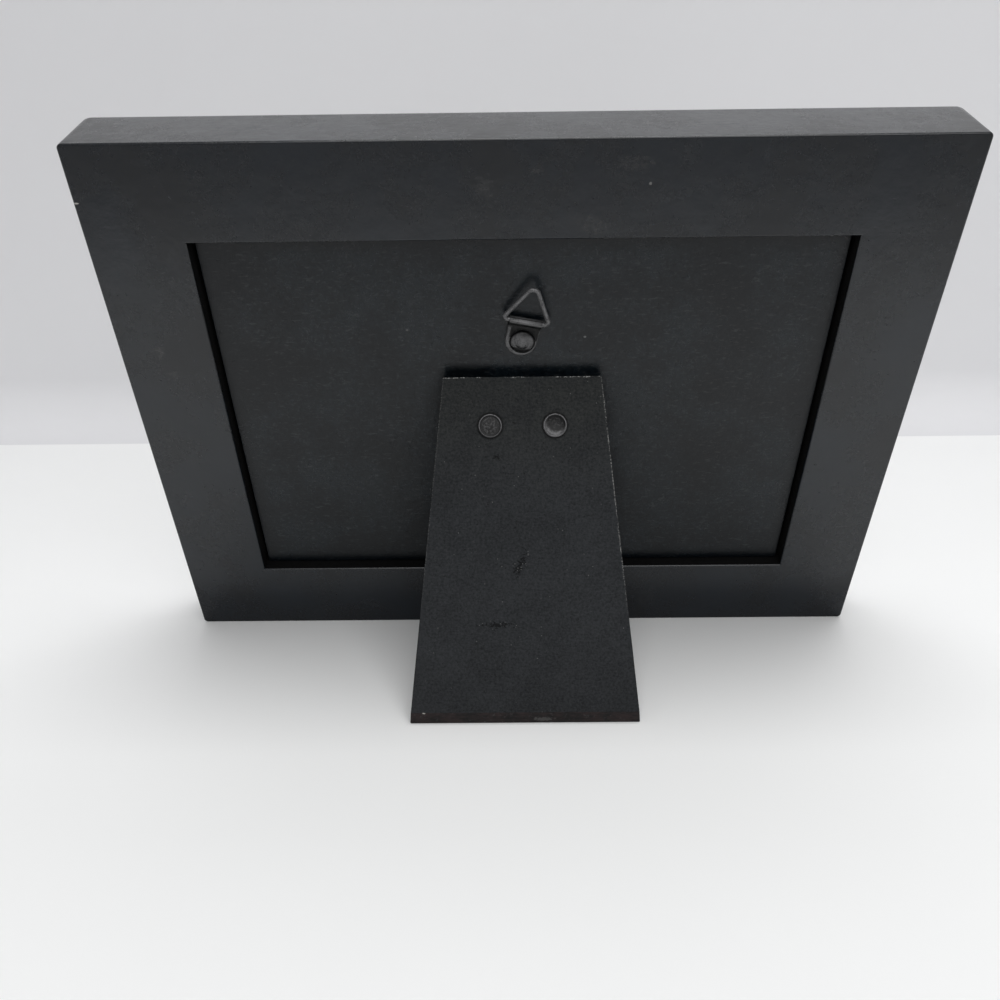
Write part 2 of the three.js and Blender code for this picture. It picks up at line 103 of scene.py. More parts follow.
strapAcross = -Vector(joints["ring_swing"]["axis"]).normalized()
strapPlace = placeAt(Vector(joints["hanger_swivel"]["pos_m"]), strapAcross, backOut)
ringPoints = [vertex.co for vertex in frame["nodes"]["hanger_ring"].data.vertices]
ringMiddle = sum(ringPoints, Vector()) / len(ringPoints)
ringBar = Vector(joints["ring_swing"]["pos_m"])
ringBar += strapAcross * (ringMiddle - ringBar).dot(strapAcross)
ringPlace = placeAt(ringBar, strapAcross, (ringMiddle - ringBar).cross(strapAcross).normalized())
print("places set")


# shader maths: a socket that can be added, multiplied and compared
class Value:
    def __init__(self, finish, socket):
        self.finish = finish
        self.socket = socket

    def also(self, name):  # another output of the same node
        return Value(self.finish, self.socket.node.outputs[name])

    def maths(self, operation, first, second):
        return self.finish.node("ShaderNodeMath", {"operation": operation}, {0: first, 1: second})

    def __add__(self, other):
        return self.maths("ADD", self, other)

    def __radd__(self, other):
        return self.maths("ADD", other, self)

    def __sub__(self, other):
        return self.maths("SUBTRACT", self, other)

    def __rsub__(self, other):
        return self.maths("SUBTRACT", other, self)

    def __mul__(self, other):
        return self.maths("MULTIPLY", self, other)

    def __rmul__(self, other):
        return self.maths("MULTIPLY", other, self)

    def __lt__(self, other):
        return self.maths("LESS_THAN", self, other)

    def __abs__(self):
        return self.maths("ABSOLUTE", self, 0.0)

    def least(self, other):
        return self.maths("MINIMUM", self, other)


def paint(red, green, blue):
    return (red, green, blue, 1.0)


def scaled(colour, by):
    return paint(*(part * by for part in colour[:3]))


class Finish:
    def __init__(self, name):
        self.material = bpy.data.materials.new(name)
        self.material.use_nodes = True
        self.tree = self.material.node_tree
        self.tree.nodes.clear()
        coords = self.node("ShaderNodeTexCoord", out="Object")
        self.where = self.node("ShaderNodeVectorMath", {"operation": "SCALE"}, {0: coords, "Scale": 1.0 / mm})

    def node(self, kind, settings=None, sockets=None, out=0):
        made = self.tree.nodes.new(kind)
        for key, value in (settings or {}).items():
            setattr(made, key, value)
        for key, value in (sockets or {}).items():
            if isinstance(value, Value):
                self.tree.links.new(value.socket, made.inputs[key])
            else:
                made.inputs[key].default_value = value
        return Value(self, made.outputs[out] if made.outputs else None)

    def vector(self, operation, first, second=(0.0, 0.0, 0.0), out=0):
        return self.node("ShaderNodeVectorMath", {"operation": operation}, {0: first, 1: second}, out)

    def axis(self, name):
        return self.node("ShaderNodeSeparateXYZ", None, {0: self.where}, name)

    def reach(self, at, size):  # distance from a place, counted in sizes
        apart = self.vector("DIVIDE", self.vector("SUBTRACT", self.where, at), size)
        return self.vector("LENGTH", apart, out="Value")

    def around(self, at=(0.0, 0.0, 0.0)):  # distance from a line along y
        return self.reach(at, (1.0, 1e6, 1.0))

    def grain(self, scale, detail=3.0, rough=0.55, stretch=None):  # noise, scale is waves per mm
        where = self.vector("MULTIPLY", self.where, stretch) if stretch else self.where
        sockets = {"Vector": where, "Scale": scale, "Detail": detail, "Roughness": rough}
        return self.node("ShaderNodeTexNoise", {"noise_dimensions": "3D"}, sockets)

    def band(self, value, low, high, start=0.0, end=1.0):  # soft step from low to high
        settings = {"interpolation_type": "SMOOTHSTEP", "clamp": True}
        sockets = {"Value": value, "From Min": low, "From Max": high, "To Min": start, "To Max": end}
        return self.node("ShaderNodeMapRange", settings, sockets)

    def mix(self, factor, first, second):
        return self.node("ShaderNodeMix", {"data_type": "RGBA"}, {0: factor, 6: first, 7: second}, 2)

    def dots(self, scale, radius, share):  # scattered round dots, share of the cells that have one
        sockets = {"Vector": self.where, "Scale": scale, "Randomness": 1.0}
        cell = self.node("ShaderNodeTexVoronoi", {"feature": "F1"}, sockets, "Distance")
        chance = self.node("ShaderNodeSeparateColor", None, {0: cell.also("Color")})
        return self.band(cell, radius * scale, radius * scale * 0.5) * (chance < share)

    def spot(self, at, size, ragged=0.5, scale=3.0):  # one mark at a place, with a ragged edge
        return self.band(self.reach(at, size) + (self.grain(scale, 2.0) - 0.5) * ragged, 1.0, 0.6)

    def bump(self, height, depth, strength):  # depth in mm
        sockets = {"Height": height, "Distance": depth * mm, "Strength": strength}
        return self.node("ShaderNodeBump", None, sockets)

    def shade(self, sockets):
        return self.node("ShaderNodeBsdfPrincipled", None, sockets)

    def done(self, shader):
        self.node("ShaderNodeOutputMaterial", None, {"Surface": shader})
        return self.material

    def coat(self, colour, patches, height, look):  # rough by its patches and raised by its height
        return self.done(self.shade({
            "Base Color": colour,
            "Roughness": self.band(patches, 0.3, 0.7, *look["rough"]),
            "Specular IOR Level": look["gloss"],
            "Normal": self.bump(height, *look["bump"]),
        }))


# satin black paint on wood: clouded, with pits, smudges and dust, and brushed along the outer faces
paintLook = {
    "dark": paint(0.0002, 0.0015, 0.0033),
    "light": paint(0.0030, 0.0064, 0.0108),
    "smudge": paint(0.0118, 0.0134, 0.0158),
    "fleck": paint(0.0320, 0.0330, 0.0340),
    "pit": paint(0.0003, 0.0003, 0.0004),
    "dust": paint(0.16, 0.16, 0.155),
    "bare": paint(0.37, 0.36, 0.34),  # wood where the paint is knocked off
    "gloss": 0.60,
    "rough": (0.33, 0.20),  # from the dull to the shiny patches
    "bump": (0.075, 0.8),  # depth and strength
    "nick": ((99.35, -0.2, 136.85), (0.75, 1.2, 0.24), 0.25, 2.0),  # place, size, raggedness and its scale
    "speck": ((-27.99, 0.0, 139.83), (0.42, 0.42, 0.42)),
    "wiped": paint(0.0165, 0.0175, 0.0190),
    "wipeEdge": (3.4, 1.0),
    "wipes": (((-15.5, 0.0, 130.4), (4.2, 2.0, 2.2)), ((-24.5, 0.0, 144.4), (4.3, 2.0, 1.6)),
              ((-3.1, 0.0, 143.1), (1.6, 2.0, 1.2)), ((8.5, 0.0, 139.5), (2.2, 2.0, 2.4)),
              ((90.0, 0.0, 98.5), (1.6, 2.0, 1.8)), ((88.6, 0.0, 91.8), (2.0, 2.0, 1.0))),
}


def blackPaint(name, brushed, look):
    f = Finish(name)
    cloud = f.grain(0.045, 4.0, 0.6)
    mottle = f.grain(0.75, 5.0, 0.65)
    outside = f.band(f.axis("Y"), -0.5, -1.2)
    streak = (f.grain(1.0, 4.0, 0.6, brushed) - 0.5) * outside
    tone = f.band(cloud * 0.7 + mottle * 0.3 + streak * 0.3, 0.36, 0.66)
    colour = f.mix(tone, look["dark"], look["light"])
    smudge = f.band(f.grain(0.07, 3.0, 0.65), 0.58, 0.74) * f.band(mottle, 0.42, 0.60)
    colour = f.mix(smudge * 0.6, colour, look["smudge"])
    for wipe in look["wipes"]:
        colour = f.mix(f.spot(*wipe, *look["wipeEdge"]) * f.band(mottle, 0.36, 0.60), colour, look["wiped"])
    flecks = f.band(f.grain(0.85, 4.0, 0.8), 0.61, 0.69)
    colour = f.mix(flecks * 0.15, colour, look["fleck"])
    pits = f.band(f.grain(0.6, 3.0, 0.75), 0.36, 0.30)
    colour = f.mix(pits * 0.6, colour, look["pit"])
    dust = f.dots(0.20, 0.17, 0.10)
    colour = f.mix(dust * 0.16, colour, look["dust"])
    colour = f.mix(f.spot(*look["speck"]) * 0.75, colour, look["dust"])
    colour = f.mix(f.spot(*look["nick"]), colour, look["bare"])
    height = mottle * 0.16 + f.grain(0.16, 3.0) * 2.4 + streak * 0.3 - pits * 0.5 + dust * 0.5
    return f.coat(colour, mottle * 0.35 + cloud * 0.65 - smudge * 0.3, height, look)


# thin dull stain inside the rebate, made darker as painted shade for the shaded rebate walls
stainAndShadeLook = {
    "dark": paint(0.0008, 0.0008, 0.0009),
    "light": paint(0.0030, 0.0029, 0.0030),
    "gloss": 0.15,
    "rough": (0.75, 0.9),
    "bump": (0.05, 0.8),
}


def rebateStainAndShade(name, look):
    f = Finish(name)
    fibre = f.grain(1.2, 4.0, 0.65)
    return f.coat(f.mix(f.band(fibre, 0.35, 0.65), look["dark"], look["light"]), fibre, fibre, look)


paintAcross = blackPaint("paint_across", (0.03, 1.0, 1.0), paintLook)
paintUp = blackPaint("paint_up", (1.0, 1.0, 0.03), paintLook)
stainAndShade = rebateStainAndShade("rebate_stain_and_shade", stainAndShadeLook)


# black faced fibre board, and its raw edge
boardLook = {
    "dark": paint(0.0002, 0.0014, 0.0028),
    "light": paint(0.0046, 0.0082, 0.0112),
    "fleck": paint(0.0290, 0.0325, 0.0350),
    "dust": paint(0.15, 0.15, 0.15),
    "gloss": 0.395,
    "rough": (0.37, 0.25),
    "bump": (0.075, 0.8),
    "borderShade": (6.0, 0.85),  # width and strength of the painted shade on the panel beside the rebate walls
    "specks": (((-15.65, -3.2, 99.7), (0.42, 0.6, 0.36), 0.7),  # place, size and strength
               ((28.55, -3.2, 102.15), (0.4, 0.4, 0.4), 0.45)),
}
rawLook = {
    "dark": paint(0.022, 0.016, 0.012),
    "light": paint(0.075, 0.052, 0.036),
    "gloss": 0.3,
    "rough": (0.78, 0.92),
    "bump": (0.06, 0.9),
}


def blackBoard(name, look):
    f = Finish(name)
    cloud = f.grain(0.05, 4.0, 0.65)
    fine = f.grain(0.9, 5.0, 0.75)
    tone = f.band(cloud * 0.55 + fine * 0.45, 0.43, 0.60)
    colour = f.mix(tone, look["dark"], look["light"])
    flecks = f.band(f.grain(0.75, 4.0, 0.8), 0.58, 0.68) * f.band(cloud, 0.42, 0.58, 0.3, 1.0)
    colour = f.mix(flecks * 0.75, colour, look["fleck"])
    fibres = f.band(f.grain(1.2, 3.0, 0.7, (0.32, 1.0, 1.2)), 0.57, 0.68)
    colour = f.mix(fibres * 0.6, colour, look["fleck"])
    pits = f.band(f.grain(0.55, 3.0, 0.75), 0.38, 0.31)
    colour = f.mix(pits * 0.8, colour, look["dark"])
    dust = f.dots(0.30, 0.16, 0.16)
    colour = f.mix(dust * 0.16, colour, look["dust"])
    # painted shade: the panel darkens towards the rebate walls, where they shade it
    low, high = span("back_panel", backPlace)
    middle = (low + high) / 2
    inward = (high.x - abs(f.axis("X"))).least(high.z - middle.z - abs(f.axis("Z") - middle.z))
    shadeWidth, strength = look["borderShade"]
    colour = f.mix(f.band(inward, shadeWidth, 0.0, 0.0, strength), colour, look["dark"])
    for at, size, strength in look["specks"]:
        colour = f.mix(f.spot(at, size) * strength, colour, look["dust"])
    height = fine + f.grain(0.2, 3.0) * 1.8 + flecks * 0.4 - pits * 0.6
    return f.coat(colour, fine * 0.6 + cloud * 0.4, height, look)


def rawBoard(name, look):
    f = Finish(name)
    fibre = f.grain(2.2, 5.0, 0.7, (0.4, 2.5, 0.4))
    fleck = f.grain(0.5, 3.0, 0.6)
    colour = f.mix(f.band(fibre * 0.6 + fleck * 0.4, 0.35, 0.68), look["dark"], look["light"])
    return f.coat(colour, fleck, fibre, look)


boardFace = blackBoard("board_face", boardLook)
boardEdge = rawBoard("board_edge", rawLook)


# black grained paper of the leg: flecks, scuffs and worn edges, painted glints, and painted shade round the
# rivets
paperLook = {
    "dark": paint(0.0112, 0.0126, 0.0139),
    "light": paint(0.0252, 0.0274, 0.0302),
    "warm": paint(0.0258, 0.0274, 0.0238),
    "fleck": paint(0.0900, 0.0920, 0.0920),
    "wornAndGlint": paint(0.34, 0.34, 0.33),
    "black": paint(0.0012, 0.0012, 0.0012),
    "gloss": 0.19,
    "rough": (0.9, 0.55),
    "bump": (0.07, 0.9),
    "smear": (0.9, 5.4, -42.0),
    "smearTurn": -26.0,
    "smearSize": (1.6, 4.0, 4.6),
    "dents": ((7.0, 5.4, -57.5), (5.6, 4.0, 1.1)),  # place and size
    "scuffs": ((6.6, 5.4, -14.3), (1.6, 2.0, 1.2)),
    "rivetShade": (3.8, 3.1),  # painted shade round the rivets, from its outer edge in
}


def grainedPaper(name, look, board):
    f = Finish(name)
    x, z = f.axis("X"), f.axis("Z")
    cloud = f.grain(0.09, 3.0, 0.6)
    fine = f.grain(1.5, 5.0, 0.75)
    blot = f.grain(0.4, 3.0, 0.6)
    chips = f.grain(0.16, 3.0, 0.6)
    nibble = f.grain(2.6, 2.0, 0.6)
    fibre = f.grain(2.0, 3.0, 0.6, (0.25, 1.0, 1.6))
    tone = f.band(fine * 0.45 + fibre * 0.2 + blot * 0.12 + cloud * 0.23, 0.36, 0.64)
    warmth = f.band(z, -30.0, 4.0, 0.0, 0.6)
    colour = f.mix(tone, look["dark"], f.mix(warmth, look["light"], look["warm"]))
    flecks = f.band(f.grain(1.3, 4.0, 0.8), 0.63, 0.72)
    colour = f.mix(flecks * 0.5, colour, look["fleck"])
    specks = f.dots(0.9, 0.13, 0.10)
    colour = f.mix(specks * 0.45, colour, look["wornAndGlint"])
    colour = f.mix(f.band(z, -52.0, -82.0, 0.0, 0.22), colour, look["black"])
    pits = f.band(f.grain(1.2, 3.0, 0.7), 0.37, 0.31)
    # how far in from the tapered sides and from the top edge, in mm
    top = board["top"] - z
    side = board["topHalf"] + board["flare"] * top - abs(x)
    arris = f.band(f.axis("Y"), board["outer"] - 2.0, board["outer"] - 0.5, 0.2, 1.0)
    wornTop = f.band(top - (chips - 0.5) * 1.6, 0.40, 0.05) * f.band(chips * 0.55 + nibble * 0.45, 0.49, 0.56)
    wornTop = wornTop * arris
    right = f.band(x, 6.0, -6.0, 0.25, 1.0) * f.band(z, -58.0, -40.0)
    wornSide = f.band(side, 0.45, 0.10) * f.band(nibble * 0.8 + chips * 0.2, 0.50, 0.56) * right * arris
    colour = f.mix(wornTop * 0.95, colour, look["wornAndGlint"])
    colour = f.mix(wornSide * 0.7, colour, look["wornAndGlint"])
    # a dark smear in the middle, a row of small dents below it, painted highlights (glints) by them, and
    # scuffs under a rivet
    slant = f.node("ShaderNodeMapping", {"vector_type": "TEXTURE"}, {
        "Vector": f.where, "Location": look["smear"],
        "Rotation": (0.0, math.radians(look["smearTurn"]), 0.0), "Scale": look["smearSize"]})
    speckle = f.grain(1.9, 3.0, 0.8) - 0.5
    slanted = f.vector("LENGTH", slant, out="Value")
    smear = f.band(slanted + speckle * 4.4, 0.56, 0.2)
    dented = f.reach(*look["dents"])
    dents = f.band(dented + speckle * 4.4, 0.66, 0.3)
    glints = f.dots(1.5, 0.15, 0.5) * f.band(slanted.least(dented), 1.2, 0.8)
    scuffs = f.band(f.reach(*look["scuffs"]) + speckle * 4.0, 0.6, 0.25) * 0.8
    marks = f.band(smear + dents + scuffs, 0.0, 1.0)
    colour = f.mix(pits * 0.6, colour, look["black"])
    colour = f.mix(marks * 0.7, colour, look["black"])
    # the glints are painted highlights
    colour = f.mix(glints * 0.4, colour, look["wornAndGlint"])
    # painted shade on the paper round the rivet heads
    for at in board["studs"]:
        colour = f.mix(f.band(f.around(at), *look["rivetShade"], 0.0, 0.75), colour, look["black"])
    height = fine + flecks * 0.6 - marks + (wornTop + wornSide) * 0.5
    return f.coat(colour, fine - marks, height, look)


# the sawn foot, stained dark over brown fibre
footLook = {
    "dark": paint(0.0052, 0.0046, 0.0049),
    "light": paint(0.0250, 0.0178, 0.0175),
    "rubbed": paint(0.080, 0.078, 0.076),
    "rub": ((-4.6, 4.2, -82.4), (2.8, 1.4, 0.6), 2.0, 1.6),  # place, size, raggedness and its scale
    "chipped": paint(0.42, 0.40, 0.38),
    "chip": ((26.2, 5.3, -80.4), (0.45, 0.5, 0.35), 0.8, 2.5),
    "gloss": 0.18,
    "rough": (0.6, 0.8),
    "bump": (0.09, 0.9),
}


def bevelledBoard(name, look):
    f = Finish(name)
    fibre = f.grain(1.5, 5.0, 0.7, (0.25, 1.0, 1.0))
    patch = f.grain(0.25, 3.0, 0.6)
    colour = f.mix(f.band(fibre * 0.5 + patch * 0.5, 0.38, 0.62), look["dark"], look["light"])
    colour = f.mix(f.band(f.grain(0.9, 3.0, 0.75), 0.58, 0.70, 0.0, 0.35), colour, look["rubbed"])
    colour = f.mix(f.spot(*look["rub"]) * 0.6, colour, look["rubbed"])
    colour = f.mix(f.spot(*look["chip"]) * 0.85, colour, look["chipped"])
    return f.coat(colour, patch, fibre, look)


# black lacquer on steel, rubbed through to dark metal where it stands proud; on the dished and domed heads the
# rubbed metal is also placed as painted highlight and shade
lacquerLook = {
    "dark": paint(0.0014, 0.0015, 0.0017),
    "light": paint(0.0046, 0.0048, 0.0052),
    "metal": paint(0.165, 0.165, 0.168),
    "gloss": 0.26,
    "rough": (0.30, 0.46),
    "bump": (0.05, 0.8),
}


def everywhere(f):
    return f.band(f.grain(0.6, 3.0), 0.1, 0.45, 0.75, 1.0)


def nowhere(f):
    return f.band(f.grain(0.8, 3.0), 0.60, 0.75, 0.0, 0.35)


def rimWear(f):  # a thin line round the edge of a head, and patches on its face
    out = f.around()
    line = f.band(out, 2.62, 2.76) * f.band(out, 3.02, 2.92) * f.band(f.axis("Z"), -2.8, 1.0, 0.5, 0.95)
    patches = f.band(f.grain(1.7, 4.0, 0.8), 0.42, 0.62, 0.0, 0.42) * f.band(out, 2.6, 1.9)
    return f.band(line + patches, 0.0, 1.0)


def dishWearAndHighlight(f):  # the same, and a painted highlight: a crescent of rubbed metal inside the rim low on one side
    crescentHighlight = f.band(f.around((-0.35, 0.0, 0.95)), 2.0, 3.2, 0.0, 0.7)
    return f.band(crescentHighlight + rimWear(f), 0.0, 1.0)


def domeWearHighlightAndShade(f):  # brightest on the boss as a painted highlight, dull at the rim and the top, and dull on the lower side as painted shade
    out, up = f.around(), f.axis("Z")
    dome = f.band(out, 2.95, 2.60, 0.15, 0.75) * f.band(up, 2.9, 1.2, 0.3, 1.0)
    dome = dome * f.band(up, -1.75, -1.1, 0.12, 1.0)
    step = f.band(abs(out - 1.45), 0.12, 0.35, 0.2, 1.0)  # painted shade: a dark line under the boss
    bossHighlight = f.band(out, 1.3, 0.6) * f.band(up, -1.15, -0.6)
    return f.band(dome * f.band(up, -0.4, -1.0, 1.0, step) + bossHighlight * 0.3, 0.0, 1.0)


def strapWear(f):  # the bead round the edge, and the roll up to its seam
    up = f.axis("Z")
    bead = f.band(f.around(), 3.15, 3.32) * f.band(up, 1.2, 0.2)
    sides = f.band(abs(f.axis("X")), 3.35, 3.6) * f.band(up, 4.4, 3.2)
    seam = f.band(f.reach((0.0, 1.94, 6.71), (1e6, 1.0, 1.0)), 0.08, 0.2)
    roll = f.band(up, 5.5, 5.9, 0.0, 0.85) * seam
    return f.band(bead + sides * 0.7 + roll, 0.0, 1.0)


def blackLacquer(name, look, wear, metal=1.0):
    f = Finish(name)
    cloud = f.grain(0.7, 3.0, 0.6)
    fine = f.grain(2.6, 4.0, 0.7)
    colour = f.mix(f.band(cloud * 0.5 + fine * 0.5, 0.35, 0.65), look["dark"], look["light"])
    uneven = fine * 0.6 + cloud * 0.4
    # rubbed metal; on the dished and domed heads this mask also carries painted highlight and shade
    rubbed = wear(f) * f.band(uneven, 0.36, 0.56, 0.3, 1.0)
    pits = f.dots(1.4, 0.13, 0.25)
    return f.done(f.shade({
        "Base Color": f.mix(rubbed, colour, scaled(look["metal"], metal)),
        "Metallic": rubbed,
        "Roughness": f.band(uneven, 0.3, 0.7, *look["rough"]) + rubbed * 0.12,
        "Specular IOR Level": look["gloss"],
        "Normal": f.bump(fine * 0.8 + cloud * 0.8 - pits, *look["bump"]),
    }))


lacquer = blackLacquer("black_lacquer", lacquerLook, nowhere)
flatLacquer = blackLacquer("stud_lacquer", lacquerLook, rimWear)
dishLacquer = blackLacquer("dish_lacquer", lacquerLook, dishWearAndHighlight)
domeLacquer = blackLacquer("dome_lacquer", lacquerLook, domeWearHighlightAndShade)
strapLacquer = blackLacquer("strap_lacquer", lacquerLook, strapWear)
wireLacquer = blackLacquer("wire_lacquer", lacquerLook, everywhere, 1.2)


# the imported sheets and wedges
steelLook = {"dark": paint(0.46, 0.46, 0.45), "light": paint(0.62, 0.62, 0.6), "rough": (0.25, 0.42)}
glassLook = {
    "clear": paint(0.96, 0.985, 0.975),
    "shadow": paint(0.92, 0.95, 0.94),
    "rough": (0.0, 0.03),
    "bends": 1.5,
}
sheetLook = {
    "dark": paint(0.74, 0.72, 0.67),
    "light": paint(0.80, 0.785, 0.74),
    "gloss": 0.5,
    "rough": (0.8, 0.9),
    "bump": (0.02, 0.6),
}
cardLook = {
    "dark": paint(0.33, 0.235, 0.14),
    "light": paint(0.47, 0.36, 0.235),
    "fleck": paint(0.17, 0.115, 0.07),
    "gloss": 0.5,
    "rough": (0.82, 0.94),
    "bump": (0.04, 0.8),
}


def brightSteel(name, look):
    f = Finish(name)
    brushed = f.grain(2.0, 4.0, 0.6, (0.15, 1.0, 1.0))
    return f.done(f.shade({
        "Base Color": f.mix(f.band(brushed, 0.3, 0.7), look["dark"], look["light"]),
        "Metallic": 1.0,
        "Roughness": f.band(brushed, 0.3, 0.7, *look["rough"]),
    }))


def clearGlass(name, look):  # lets the lamps through, so that the print behind it isn't in shadow
    f = Finish(name)
    glass = f.shade({
        "Base Color": look["clear"],
        "Roughness": f.band(f.grain(0.04, 2.0), 0.3, 0.7, *look["rough"]),
        "Transmission Weight": 1.0,
        "IOR": look["bends"],
    })
    clear = f.node("ShaderNodeBsdfTransparent", None, {"Color": look["shadow"]})
    shadow = f.node("ShaderNodeLightPath", out="Is Shadow Ray")
    return f.done(f.node("ShaderNodeMixShader", None, {0: shadow, 1: glass, 2: clear}))


def plainPaper(name, look):
    f = Finish(name)
    fibre = f.grain(1.4, 5.0, 0.7)
    cloud = f.grain(0.05, 3.0)
    colour = f.mix(f.band(fibre * 0.5 + cloud * 0.5, 0.3, 0.7), look["dark"], look["light"])
    return f.coat(colour, cloud, fibre, look)


def brownCard(name, look):
    f = Finish(name)
    fibre = f.grain(1.1, 5.0, 0.7, (0.3, 1.0, 1.0))
    cloud = f.grain(0.07, 3.0)
    colour = f.mix(f.band(fibre * 0.55 + cloud * 0.45, 0.32, 0.68), look["dark"], look["light"])
    colour = f.mix(f.dots(0.8, 0.22, 0.14) * 0.5, colour, look["fleck"])
    return f.coat(colour, fibre, fibre, look)


print("finishes made:", len(bpy.data.materials))


# meshes
turnedSharp = 50.0  # degrees at which an edge of a turned or bent piece stays sharp


def makePiece(name, points, faces, place, sharp=38.0):
    mesh = bpy.data.meshes.new(name)
    mesh.from_pydata([Vector(point) * mm for point in points], [], faces)
    solid = bmesh.new()
    solid.from_mesh(mesh)
    bmesh.ops.remove_doubles(solid, verts=solid.verts, dist=1e-7)
    bmesh.ops.recalc_face_normals(solid, faces=solid.faces)
    solid.to_mesh(mesh)
    solid.free()
    mesh.polygons.foreach_set("use_smooth", [True] * len(mesh.polygons))
    mesh.set_sharp_from_angle(angle=math.radians(sharp))
    piece = bpy.data.objects.new(name, mesh)
    bpy.context.scene.collection.objects.link(piece)
    piece.matrix_world = place
    flat = piece.modifiers.new("flat_faces", "WEIGHTED_NORMAL")
    flat.keep_sharp = True
    return piece


def settle(piece, body, slot, nodes, *finishes):
    for finish in finishes:
        piece.data.materials.append(finish)
    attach(piece, body)
    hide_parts(*nodes)
    print("made", piece.name, "with", len(piece.data.polygons), "faces")


def arc(centre, radius, start, end, steps):  # degrees, both ends included
    found = []
    for step in range(steps + 1):
        angle = math.radians(start + (end - start) * step / steps)
        found.append((centre[0] + radius * math.cos(angle), centre[1] + radius * math.sin(angle)))
    return found


def loft(rows, points, faces, capped=True, closed=False):  # rows of points that each close on themselves
    first = len(points)
    count = len(rows[0])
    for row in rows:
        points.extend(row)
    total = len(rows)
    for i in range(total if closed else total - 1):
        a, b = first + i * count, first + (i + 1) % total * count
        for j in range(count):
            k = (j + 1) % count
            faces.append((a + j, a + k, b + k, b + j))
    if capped and not closed:
        faces.append(tuple(range(first, first + count)))
        faces.append(tuple(range(first + (total - 1) * count, first + total * count)))


def lathe(profile, sides, points, faces):  # (radius, height) about y, both ends on the axis
    rings = []
    for radius, height in profile:
        count = sides if radius > 1e-6 else 1
        rings.append((len(points), count))
        for j in range(count):
            angle = 2 * math.pi * j / sides
            points.append((radius * math.cos(angle), height, radius * math.sin(angle)))
    for (a, countA), (b, countB) in zip(rings, rings[1:]):
        for j in range(sides):
            k = (j + 1) % sides
            face = [a + j % countA, a + k % countA, b + k % countB, b + j % countB]
            faces.append(tuple(dict.fromkeys(face)))


# mouldings: one section swept along each rail, mitred, with the frame's corners rounded off a little
railShape = {
    "frontRound": 2.6,
    "sightRound": 0.8,
    "backEase": 0.5,
    "cornerRound": 1.2,
    "cornerMore": 2.2,  # rounder towards the front
    "flare": 0.9,  # wider at the front
    "cardPlay": 0.4,  # between the card and the rebate's walls
    "glassPlay": 0.2,  # between the glass and the rebate's floor
    "near": 0.02,
    "steps": 6,
}


def mouldingSection(wall, lip, depth, rebate, shape):  # (in from the outer face, out of the back)
    ease, sight, front, steps = shape["backEase"], shape["sightRound"], shape["frontRound"], shape["steps"]
    section = arc((ease, -ease), ease, 180, 90, steps)
    section += arc((wall - ease, -ease), ease, 90, 0, steps)
    section += [(wall, -rebate), (lip, -rebate)]
    section += arc((lip - sight, sight - depth), sight, 0, -90, steps)
    section += arc((front, front - depth), front, -90, -180, steps)
    return section


def railRows(half, section, shape):
    steps = shape["steps"]
    depth = min(out for inward, out in section)
    stations = [(-1, k / steps) for k in range(steps, -1, -1)] + [(1, k / steps) for k in range(steps + 1)]
    rows = []
    for side, part in stations:
        angle = part * math.pi / 4
        row = []
        for inward, out in section:
            corner = shape["cornerRound"] + shape["cornerMore"] * (out / depth) ** 2
            left = corner - inward
            if left > 0:
                x = half - corner + left * math.sin(angle)
                z = corner - left * math.cos(angle)
            else:
                x = half - inward - corner * (1 - part)
                z = inward
            row.append((side * x, out, z))
        rows.append(row)
    return rows


def makeMouldings(shape):
    low, high = span("rail_bottom", backPlace)
    halfWidth, height = -span("rail_left", backPlace)[0].x, span("rail_top", backPlace)[1].z
    wall = span("filler_card", backPlace)[0].z - shape["cardPlay"]
    rebate = shape["glassPlay"] - span("glass", backPlace)[0].y
    section = mouldingSection(wall, high.z, -low.y, rebate, shape)

    def wider(y):
        return 1 + shape["flare"] * y / low.y / halfWidth

    turns = {
        "rail_bottom": lambda x, y, z: (x, y, z),
        "rail_top": lambda x, y, z: (-x, y, height - z),
        "rail_right": lambda x, y, z: (halfWidth - z, y, height / 2 + x),
        "rail_left": lambda x, y, z: (z - halfWidth, y, height / 2 - x),
    }
    for node, turn in turns.items():
        lying = node in ("rail_bottom", "rail_top")
        rows = railRows(halfWidth if lying else height / 2, section, shape)
        points, faces = [], []
        turned = [[turn(*point) for point in row] for row in rows]
        loft([[(x * wider(y), y, z) for x, y, z in row] for row in turned], points, faces)
        piece = makePiece("moulding_" + node[5:], points, faces, backPlace)
        settle(piece, "frame", "moulding", [node], paintAcross if lying else paintUp, stainAndShade)
        # faces inside the rebate get the dull stain with its painted shade
        for face in piece.data.polygons:
            x, y, z = face.center / mm
            inward = min(halfWidth - abs(x) / wider(y), z, height - z)
            inside = inward > wall - shape["near"] and y > -rebate - shape["near"]
            face.material_index = 1 if inside else 0


makeMouldings(railShape)


# back panel, with eased edges and raw fibre round the sides
def rectangle(left, low, right, high):
    return [(left, low), (right, low), (right, high), (left, high)]


def insetOutline(outline, inset):  # a convex outline, each edge moved in
    count = len(outline)
    found = []
    for i in range(count):
        before, here, after = (Vector(outline[(i + k) % count]) for k in (-1, 0, 1))
        u, v = (here - before).normalized(), (after - here).normalized()
        bisector = Vector((-u.y - v.y, u.x + v.x))
        bisector *= inset / (1 + u.dot(v))
        found.append(tuple(here + bisector))
    return found


def easedSlab(outline, back, front, ease, steps, points, faces):  # outline runs counter-clockwise in x and z
    levels = [(ease - a, back - ease + b) for a, b in arc((0, 0), ease, 90, 0, steps)]
    levels += [(ease - a, front + ease - b) for a, b in arc((0, 0), ease, 0, 90, steps)]
    loft([[(x, out, z) for x, z in insetOutline(outline, inset)] for inset, out in levels], points, faces)


